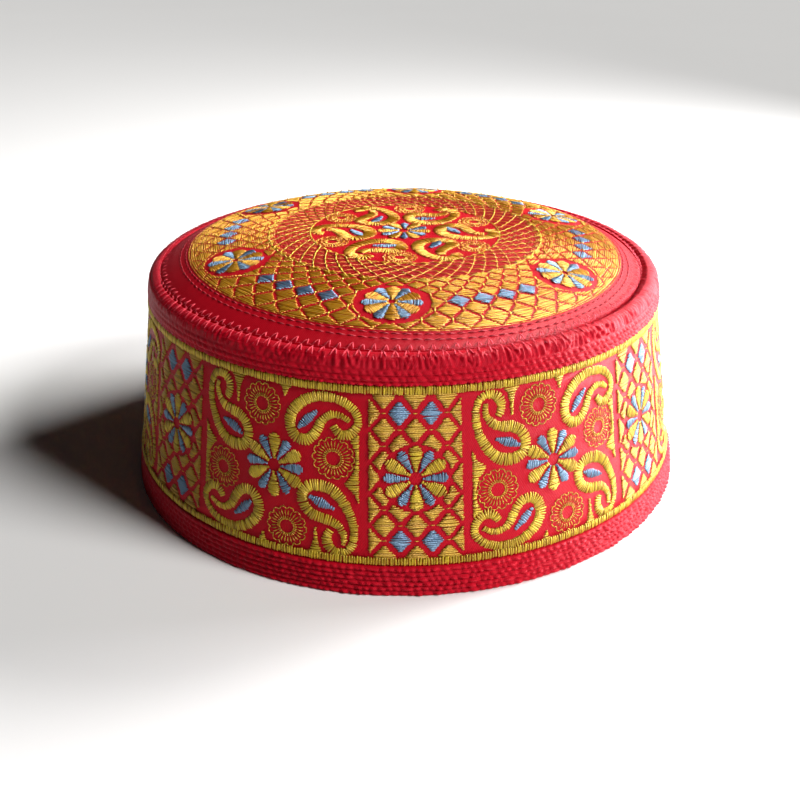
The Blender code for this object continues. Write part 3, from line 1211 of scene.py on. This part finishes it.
def band_cloth():
    """The wall's cloth: smooth, with the faint waves that dense stitching leaves."""
    count = 12
    heights = np.linspace(BAND_LOW, BAND_HIGH, count)
    rings = [(ground_radius(h), h) for h in heights]
    inner = (BAND_HIGH, (BAND_LOW + BAND_HIGH) / 2.0, BAND_LOW)
    rings += [(wall_radius(h) - WALL_THICKNESS, h) for h in inner]

    def relief(radii, levels, angles):
        waves = 0.12 * MM * wandering(angles[None, :] + levels * 9.0, 50, 21)
        waves[count:] = 0.0
        waves[0] = waves[count - 1] = 0.0
        return radii + waves, levels

    cloth = finish("Twill Ground")
    return shell("band_cloth", rings, [0.0] * len(rings), BAND_STEPS, cloth, relief)


# How far the crown's edge is turned down, and how finely crown and band are built round
EDGE_FALL = 0.35 * MM
CROWN_STEPS = 288
BAND_STEPS = 360


def crown_cloth():
    """Domed disc, whose outermost edge is turned down beside the seam."""
    edge = CROWN_RING.radius
    shares = [*np.linspace(1.0, 0.88, 26), *np.linspace(0.86, 0.12, 18), 0.02]
    under_shares = (0.02, 0.30, 0.60, 0.80, 0.91, 0.97, 1.0)
    rings = [(edge * s, float(dome_height(edge * s))) for s in shares]
    rings += [(edge * s, float(dome_height(edge * s)) - CROWN_THICKNESS) for s in under_shares]
    outer = len(shares)

    def relief(radii, levels, angles):
        turned_down = ramp(radii / edge, 0.985, 1.0) ** 2
        made = levels.copy()
        made[:outer] -= (EDGE_FALL * turned_down)[:outer]
        return radii, made

    cloth = finish("Twill Ground")
    made = shell("crown_cloth", rings, [1.0] * len(rings), CROWN_STEPS, cloth, relief)
    return capped(made, outer, CROWN_STEPS)


def capped(made, outside_count, steps):
    """Turn the small hole in a shell's middle into two closed poles."""
    mesh = made.data
    faces = [tuple(face.vertices) for face in mesh.polygons]
    last, first = outside_count - 1, outside_count
    through = {(last, first), (first, last)}
    kept = [f for f in faces if (min(f) // steps, max(f) // steps) not in through]
    top = list(range(last * steps, last * steps + steps))
    low = list(range(first * steps, first * steps + steps))
    points = [vertex.co.copy() for vertex in mesh.vertices]
    points += [sum((points[i] for i in ring), Vector()) / steps for ring in (top, low)]
    for ring, pole, flip in ((top, len(points) - 2, False), (low, len(points) - 1, True)):
        for here, there in zip(ring, ring[1:] + ring[:1]):
            kept.append((there, here, pole)[::-1 if flip else 1])
    fresh = bpy.data.meshes.new(made.name)
    fresh.from_pydata([tuple(p) for p in points], [], kept)
    spots = np.array([fresh.vertices[loop.vertex_index].co.xy for loop in fresh.loops]) / MM
    fresh.uv_layers.new(name="Weave").data.foreach_set("uv", spots.astype(np.float32).ravel())
    fresh.materials.append(mesh.materials[0])
    fresh.shade_smooth()
    made.data = fresh
    return made


def outward(made):
    """Turn a closed piece's faces outwards."""
    bm = bmesh.new()
    bm.from_mesh(made.data)
    bmesh.ops.recalc_face_normals(bm, faces=bm.faces)
    bm.to_mesh(made.data)
    bm.free()
    return made


# Sizes and colours that a maker would change

def length_property(name, description, millimetres):
    return bpy.props.FloatProperty(
        name=name, description=description, default=millimetres * MM, min=0.0, precision=5,
        subtype="DISTANCE", unit="LENGTH")


def count_property(name, description, value):
    return bpy.props.IntProperty(name=name, description=description, default=value, min=3)


class CapSizes(bpy.types.PropertyGroup):
    """The thread's, quilting's and seams' sizes."""

    thread_width: length_property("Thread width", "Width of a satin stitch", 0.66)
    stitch_pitch: length_property("Stitch pitch", "Distance between satin stitches", 0.66)
    border_pitch: length_property("Border pitch", "Distance between a border's stitches", 0.75)
    satin_height: length_property("Satin height", "How far satin stitches stand up", 0.44)
    hem_rows: count_property("Hem rows", "Rows of quilting in the hem", 6)
    hem_puffs: count_property("Hem puffs", "Puffs round one row of the hem", 246)
    hem_puff: length_property("Hem puff", "How far the hem's puffs stand out", 1.05)
    margin_puckers: count_property("Rim puckers", "Puckers round the upper margin", 240)
    margin_depth: length_property("Pucker depth", "Depth of the rim's puckers", 0.85)
    groove_depth: length_property("Groove depth", "Depth of the seam's groove on its deep side", 0.9)
    overcast_pitch: length_property("Overcast pitch", "Repeat of the seam's overcast thread", 3.6)


def colour_property(name, description, value):
    return bpy.props.FloatVectorProperty(
        name=name, description=description, subtype="COLOR", size=3, min=0.0, max=1.0, default=value)


class CapColours(bpy.types.PropertyGroup):
    """The cloth's and threads' colours, each thread with a lit and a shaded tone, which paint light and
    shade on its stitches.
    """

    cloth: colour_property("Cloth", "Quilted hem and rim cloth", (0.50, 0.003, 0.014))
    ground: colour_property("Ground", "Twill under the embroidery", (0.48, 0.003, 0.012))
    # A thread's lit and dark tones are its colour as lit and as shaded, for painted light and shade on
    # its stitches
    gold: colour_property("Gold", "Lit tone of the gold thread", (0.88, 0.66, 0.014))
    gold_dark: colour_property("Gold, dark", "Deep tone of the gold thread", (0.36, 0.17, 0.004))
    blue: colour_property("Blue", "Lit tone of the blue thread", (0.23, 0.38, 0.56))
    blue_dark: colour_property("Blue, dark", "Deep tone of the blue thread", (0.05, 0.13, 0.25))
    # The cells' gold is the gold thread made darker: painted shade on cells whose stitches catch little
    # light
    cell_gold: colour_property("Cell gold", "Lit tone of the lattice panels' cells", (0.72, 0.44, 0.012))
    cell_gold_dark: colour_property("Cell gold, dark", "Deep tone of it", (0.34, 0.13, 0.004))
    crown_gold: colour_property("Crown gold", "Lit tone of the crown's gold thread", (0.92, 0.50, 0.014))
    crown_gold_dark: colour_property("Crown gold, dark", "Deep tone of it", (0.50, 0.17, 0.004))
    net: colour_property("Net thread", "Lit tone of the net's fine rings", (0.56, 0.07, 0.012))
    net_dark: colour_property("Net thread, dark", "Deep tone of it", (0.30, 0.02, 0.006))
    # The running rows' thread is the cloth's own red painted darker: painted shade of dashes sunk into
    # the cloth
    running: colour_property("Running thread", "Lit tone of the running rows", (0.42, 0.004, 0.016))
    running_dark: colour_property("Running thread, dark", "Deep tone of it", (0.22, 0.002, 0.006))
    seam: colour_property("Seam thread", "Lit tone of the overcast seam", (0.84, 0.07, 0.11))
    seam_dark: colour_property("Seam thread, dark", "Deep tone of it", (0.45, 0.010, 0.022))


# Running rows of the crown: their radii, and the length and repeat of their stitches
RUNNING_ROWS = (71.9, 73.7)
RUNNING_STITCH = 2.5
RUNNING_PITCH = 3.05

# Rows of stitches sunk in the margin: the lowest row, and the row below the folds
SunkRow = namedtuple("SunkRow", "up length gap")
SUNK_ROWS = (SunkRow(up=0.14, length=1.9, gap=0.8), SunkRow(up=0.53, length=2.3, gap=0.9))

# The join at the back: how far its stitches stay from the band's edges, their length and repeat
JOIN_MARGIN = 3.2
JOIN_STITCH = 2.0
JOIN_PITCH = 2.6


def overcast():
    """Thread over the seam: a line along it, a tick up the crown and two legs down the roll.

    Its places are millimetres round the cap, and outwards from the crown's edge.
    """
    count = round(CHART_ROUND * MM / sizes().overcast_pitch)
    pitch = CHART_ROUND / count
    chance = np.random.default_rng(95)
    made = []
    for step in range(count):
        u = step * pitch
        tick = 1.8 + chance.random() * 0.7
        left = 3.2 + chance.random()
        right = 3.6 + chance.random() * 1.2
        made += [
            [u, 0.5, u + 0.35 * pitch, -tick],
            [u + 0.35 * pitch, -tick, u + 0.5 * pitch, 0.5],
            [u + 0.5 * pitch, 0.5, u + pitch, 0.6],
            [u + 0.1, 0.6, u - 0.25 * pitch, left],
            [u + 0.2, 0.6, u + 0.25 * pitch, right],
        ]
    return made


def rim_quilting():
    """Running stitches sunk in the margin."""
    made = []
    for row in SUNK_ROWS:
        level = BAND_HIGH + MARGIN_HEIGHT * row.up
        v = float(np.interp(-level, -RIM_PROFILE[CROWN_EDGE_ROWS:, 1], RIM_RUN[CROWN_EDGE_ROWS:]))
        count = round(CHART_ROUND / (row.length + row.gap))
        for step in range(count):
            u = step * CHART_ROUND / count
            made.append([u, v, u + row.length, v])
    return made


def running_rows():
    """Running stitches round the crown's margin."""
    made = []
    for radius in RUNNING_ROWS:
        count = round(TURN * radius / RUNNING_PITCH)
        for step in range(count):
            angle = TURN * step / count
            made.append([*polar(radius, angle), *polar(radius, angle + RUNNING_STITCH / radius)])
    return made


def back_join():
    """One upright row of stitches where the band's ends meet."""
    reach = CHART_HEIGHT / 2.0 - JOIN_MARGIN
    return [[JOIN_AT, v, JOIN_AT, v + JOIN_STITCH] for v in np.arange(-reach, reach, JOIN_PITCH)]


def crown_lace():
    """Six rosettes round the middle motif."""
    lace = []
    for step in range(6):
        x, y = polar(MOTIF_ROSETTE_RADIUS, CROWN_TURN + TURN * step / 6.0)
        lace += moved(rosette(), x, y, size=MOTIF_ROSETTE_SIZE)
    return lace


# The borders' stitches: their width as a share of their pitch, and the level they lie at
BORDER_COVER = 0.94
BORDER_BASE = 0.35 * MM

# The crown's thread as a share of the satin's width, and how little its cells' stitches arch
CROWN_THREAD = 0.88
FLAT_ARCH = 0.12


def repeated(stitches, first, repeats):
    """A panel's stitches at each of its places round the band."""
    made = []
    for repeat in repeats:
        made += moved(stitches, x=first + PANEL_REPEAT * repeat, y=PANEL_MIDDLE)
    return made


class CAP_OT_hem(bpy.types.Operator):
    """Quilted hem cloth"""

    bl_idname = "cap.hem"
    bl_label = "Hem"

    def execute(self, context):
        dress(outward(quilted_hem()), "red_cloth", "hem")
        return {"FINISHED"}


class CAP_OT_rim(bpy.types.Operator):
    """Puckered upper margin with its rolled rim"""

    bl_idname = "cap.rim"
    bl_label = "Rim"

    def execute(self, context):
        dress(outward(rim_cloth()), "red_cloth", "upper_margin")
        return {"FINISHED"}


class CAP_OT_band(bpy.types.Operator):
    """Cloth of the wall"""

    bl_idname = "cap.band"
    bl_label = "Band cloth"

    def execute(self, context):
        dress(outward(band_cloth()), "embroidered_cloth", "side_band")
        return {"FINISHED"}


class CAP_OT_crown(bpy.types.Operator):
    """Cloth of the crown"""

    bl_idname = "cap.crown"
    bl_label = "Crown cloth"

    def execute(self, context):
        dress(outward(crown_cloth()), "embroidered_cloth", "crown")
        return {"FINISHED"}


class CAP_OT_borders(bpy.types.Operator):
    """Gold satin borders above and below the embroidery"""

    bl_idname = "cap.borders"
    bl_label = "Borders"

    def execute(self, context):
        pitch = sizes().border_pitch
        width = BORDER_WIDTH / BAND_HEIGHT * CHART_HEIGHT * BORDER_STITCH
        count = round(CHART_ROUND * MM / pitch)
        yarn = satin_yarn()._replace(width=pitch * BORDER_COVER, base=BORDER_BASE)
        lows = {"lower_border": -CHART_HEIGHT / 2.0, "upper_border": CHART_HEIGHT / 2.0 - width}
        for seed, (node, low) in enumerate(lows.items(), 31):
            stitches = [[u, low, u, low + width] for u in np.arange(count) * CHART_ROUND / count]
            embroider(node + "_stitches", WALL, stitches, yarn, "Gold Thread", seed, node)
        return {"FINISHED"}


class CAP_OT_side_lattice(bpy.types.Operator):
    """Diamond lattice panels with their flowers"""

    bl_idname = "cap.side_lattice"
    bl_label = "Lattice panels"

    def execute(self, context):
        pitch = sizes().stitch_pitch / MM
        panel = lattice_panel(pitch * CELL_PITCH)
        petals = flower(pitch * PETAL_PITCH)
        yarn = satin_yarn()
        for name, stitches, laid, thread, seed in (
            ("lattice_gold", panel.gold, yarn, "Cell Gold Thread", 41),
            ("lattice_petals", petals.gold, yarn, "Gold Thread", 44),
            ("lattice_blue", panel.blue + petals.blue, yarn, "Blue Thread", 42),
            ("lattice_ticks", lattice_ticks(), FINE_YARN, "Gold Thread", 43),
        ):
            everywhere = repeated(stitches, LATTICE_AT, LATTICE_REPEATS)
            embroider(name, WALL, everywhere, laid, thread, seed)
        return {"FINISHED"}


class CAP_OT_side_flowers(bpy.types.Operator):
    """Flower panels with their paisleys"""

    bl_idname = "cap.side_flowers"
    bl_label = "Flower panels"

    def execute(self, context):
        pitch = sizes().stitch_pitch / MM
        panel = flower_panel(pitch)
        petals = flower(pitch * PETAL_PITCH)
        for name, stitches, thread, seed in (
            ("paisley_gold", panel.gold, "Gold Thread", 51),
            ("petal_gold", petals.gold, "Gold Thread", 52),
            ("panel_blue", panel.blue + petals.blue, "Blue Thread", 53),
        ):
            everywhere = repeated(stitches, FLOWER_AT, FLOWER_REPEATS)
            embroider(name, WALL, everywhere, satin_yarn(), thread, seed)
        return {"FINISHED"}


class CAP_OT_side_rosettes(bpy.types.Operator):
    """Lace rosettes of thin thread in the flower panels"""

    bl_idname = "cap.side_rosettes"
    bl_label = "Rosettes"

    def execute(self, context):
        threads = []
        for x, y in ROSETTES:
            threads += moved(rosette(), x=x, y=y)
        threads = repeated(both_ways(threads), FLOWER_AT, FLOWER_REPEATS)
        embroider("side_rosettes", WALL, threads, SIDE_LACE_YARN, "Gold Thread", 61)
        return {"FINISHED"}


class CAP_OT_crown_lattice(bpy.types.Operator):
    """Curved lattice of the crown, with its flowers"""

    bl_idname = "cap.crown_lattice"
    bl_label = "Crown lattice"

    def execute(self, context):
        pitch = sizes().stitch_pitch / MM * CROWN_PITCH
        gold, blue = crown_lattice(pitch)
        petals = flower(pitch, gold_petal=CROWN_GOLD_PETAL, blue_petal=CROWN_BLUE_PETAL)
        flower_gold = []
        for clearing in crown_clearings():
            flower_gold += moved(petals.gold, clearing.x, clearing.y, size=CROWN_FLOWER_SIZE)
            blue += moved(petals.blue, clearing.x, clearing.y, size=CROWN_FLOWER_SIZE)
        yarn = satin_yarn()._replace(width=sizes().thread_width * CROWN_THREAD)
        flat = yarn._replace(arch=FLAT_ARCH)
        embroider("crown_lattice_gold", CROWN, gold, flat, "Deep Gold Thread", 71)
        embroider("crown_flower_gold", CROWN, flower_gold, yarn, "Deep Gold Thread", 72)
        embroider("crown_blue", CROWN, blue, yarn, "Blue Thread", 73)
        return {"FINISHED"}


class CAP_OT_crown_middle(bpy.types.Operator):
    """Net and middle motif of the crown"""

    bl_idname = "cap.crown_middle"
    bl_label = "Crown middle"

    def execute(self, context):
        motif = crown_motif(sizes().stitch_pitch / MM)
        threads = crown_net(-1.0) + ring_of_threads(FIELD_EDGE + 0.5, FIELD_RING)
        lines = crown_net(1.0) + ring_of_threads(MOTIF_EDGE, MOTIF_RING)
        lines += ring_of_threads(NET_EDGE, NET_RING)
        for name, stitches, yarn, thread, seed in (
            ("motif_gold", motif.gold, satin_yarn(), "Deep Gold Thread", 81),
            ("motif_blue", motif.blue, satin_yarn(), "Blue Thread", 82),
            ("crown_threads", threads, FINE_YARN, "Deep Gold Thread", 83),
            ("crown_knots", crown_crossings(), KNOT_YARN, "Gold Thread", 87),
            ("crown_net", lines, LINE_YARN, "Gold Thread", 84),
            ("crown_rosettes", crown_lace(), CROWN_LACE_YARN, "Deep Gold Thread", 85),
            ("net_rings", net_rings(), NET_YARN, "Net Thread", 86),
        ):
            embroider(name, CROWN, stitches, yarn, thread, seed)
        return {"FINISHED"}


class CAP_OT_seams(bpy.types.Operator):
    """Zigzag seam round the crown, running rows, quilting rows and the join at the back"""

    bl_idname = "cap.seams"
    bl_label = "Seams"

    def execute(self, context):
        embroider("running_stitches", CROWN, running_rows(), RUNNING_YARN, "Running Thread", 91)
        embroider("overcast_seam", RIM, overcast(), OVERCAST_YARN, "Seam Thread", 92)
        embroider("rim_quilting", RIM, rim_quilting(), QUILTING_YARN, "Quilting Thread", 93)
        embroider("back_join", WALL, back_join(), JOIN_YARN, "Quilting Thread", 94)
        return {"FINISHED"}


# Light, floor and camera

CAMERA_PLACE = (0.0, -0.3336, 0.1842)
CAMERA_YAW = math.radians(-0.451)
CAMERA_PITCH = math.radians(26.81)
CAMERA_ROLL = math.radians(0.76)
CAMERA_LENS = 46.72

# Light from the white room all round, and how bright that room looks behind the floor
FILL_LIGHT = 0.01
BACKDROP = 0.95

# The sun through a window, as the direction it comes from
SUN_FROM = Vector((1.0, -0.40, 0.74))
SUN_SPREAD = math.radians(24.0)
SUN_STRENGTH = 3.9
SUN_COLOUR = (1.0, 0.99, 0.97)

# Round lamps that stand for windows at the side, and the place that they shine at
Lamp = namedtuple("Lamp", "name place size power colour")
LAMPS = (
    Lamp("side_window", (0.37, 0.26, 0.36), size=0.26, power=5.8, colour=(1.0, 0.99, 0.96)),
    Lamp("low_window", (0.52, 0.16, 0.12), size=0.30, power=7.6, colour=(1.0, 0.96, 1.0)),
)
LIT_PLACE = Vector((0.0, 0.0, 0.04))

# Half the floor's side, and its colour
FLOOR = 6.0
FLOOR_COLOUR = (0.86, 0.86, 0.86)


def add_camera():
    """The photograph's own place, direction and angle of view."""
    data = bpy.data.cameras.new("Camera")
    data.lens = CAMERA_LENS
    data.sensor_width = 36.0
    data.sensor_fit = "AUTO"
    data.clip_start = 0.01
    made = add_object("Camera", data)
    ahead = Vector((
        math.sin(CAMERA_YAW) * math.cos(CAMERA_PITCH),
        math.cos(CAMERA_YAW) * math.cos(CAMERA_PITCH),
        -math.sin(CAMERA_PITCH),
    ))
    level = Vector((math.cos(CAMERA_YAW), -math.sin(CAMERA_YAW), 0.0))
    above = level.cross(ahead)
    right = level * math.cos(CAMERA_ROLL) + above * math.sin(CAMERA_ROLL)
    top = above * math.cos(CAMERA_ROLL) - level * math.sin(CAMERA_ROLL)
    turn = Matrix((right, top, -ahead)).transposed().to_4x4()
    made.matrix_world = Matrix.Translation(CAMERA_PLACE) @ turn
    bpy.context.scene.camera = made


def add_light(name, kind, power, colour, back):
    """A light that shines from the end of a vector towards its start."""
    data = bpy.data.lights.new(name, kind)
    data.energy = power
    data.color = colour
    made = add_object(name, data)
    made.rotation_euler = back.to_track_quat("Z", "Y").to_euler()
    return made


def add_lights():
    sun = add_light("window", "SUN", SUN_STRENGTH, SUN_COLOUR, SUN_FROM)
    sun.data.angle = SUN_SPREAD
    for lamp in LAMPS:
        back = Vector(lamp.place) - LIT_PLACE
        made = add_light(lamp.name, "AREA", lamp.power, lamp.colour, back)
        made.data.shape = "DISK"
        made.data.size = lamp.size
        made.location = lamp.place
        made.visible_camera = False


def pale_floor():
    mesh = bpy.data.meshes.new("floor")
    corners = [(-FLOOR, -FLOOR, 0.0), (FLOOR, -FLOOR, 0.0), (FLOOR, FLOOR, 0.0), (-FLOOR, FLOOR, 0.0)]
    mesh.from_pydata(corners, [], [(0, 1, 2, 3)])
    made, tree, shader = new_material("Pale Floor", Roughness=0.9, Specular_IOR_Level=0.0)
    grain = noise(tree, object_place(tree), 3.0)
    pale = blended(tree, grain, scaled(FLOOR_COLOUR, 0.98), scaled(FLOOR_COLOUR, 1.02))
    plug(tree, pale, shader.inputs["Base Color"])
    mesh.materials.append(made)
    return add_object("floor", mesh)


def studio():
    """A white room that the camera sees brightly, and that gives only a little light."""
    world = bpy.data.worlds.new("Studio")
    world.use_nodes = True
    background = world.node_tree.nodes["Background"]
    background.inputs["Color"].default_value = (1.0, 1.0, 1.0, 1.0)
    seen = make_node(world.node_tree, "ShaderNodeLightPath", {})
    strength = seen * (BACKDROP - FILL_LIGHT) + FILL_LIGHT
    plug(world.node_tree, strength, background.inputs["Strength"])
    return world


class CAP_OT_stage(bpy.types.Operator):
    """Pale floor, soft light and the camera"""

    bl_idname = "cap.stage"
    bl_label = "Stage"

    def execute(self, context):
        add_camera()
        pale_floor()
        context.scene.world = studio()
        add_lights()
        context.scene.view_settings.view_transform = "Standard"
        return {"FINISHED"}


class CAP_PT_panel(bpy.types.Panel):
    """Lists the cap's sizes, colours and pieces"""

    bl_idname = "CAP_PT_panel"
    bl_label = "Prayer Cap"
    bl_space_type = "VIEW_3D"
    bl_region_type = "UI"
    bl_category = "Cap"

    def draw(self, context):
        for group in (context.scene.cap_sizes, context.scene.cap_colours):
            for name in group.__annotations__:
                self.layout.prop(group, name)
        for operator in OPERATORS:
            self.layout.operator(operator.bl_idname)


OPERATORS = (
    CAP_OT_hem, CAP_OT_rim, CAP_OT_band, CAP_OT_crown, CAP_OT_borders, CAP_OT_side_lattice,
    CAP_OT_side_flowers, CAP_OT_side_rosettes, CAP_OT_crown_lattice, CAP_OT_crown_middle,
    CAP_OT_seams, CAP_OT_stage,
)
CLASSES = (CapSizes, CapColours, *OPERATORS, CAP_PT_panel)


def register():
    for cls in CLASSES:
        bpy.utils.register_class(cls)
    bpy.types.Scene.cap_sizes = bpy.props.PointerProperty(type=CapSizes)
    bpy.types.Scene.cap_colours = bpy.props.PointerProperty(type=CapColours)


def unregister():
    del bpy.types.Scene.cap_sizes
    del bpy.types.Scene.cap_colours
    for cls in reversed(CLASSES):
        bpy.utils.unregister_class(cls)


def main():
    register()
    for operator in OPERATORS:
        group, name = operator.bl_idname.split(".")
        getattr(getattr(bpy.ops, group), name)()


if __name__ == "__main__":
    main()
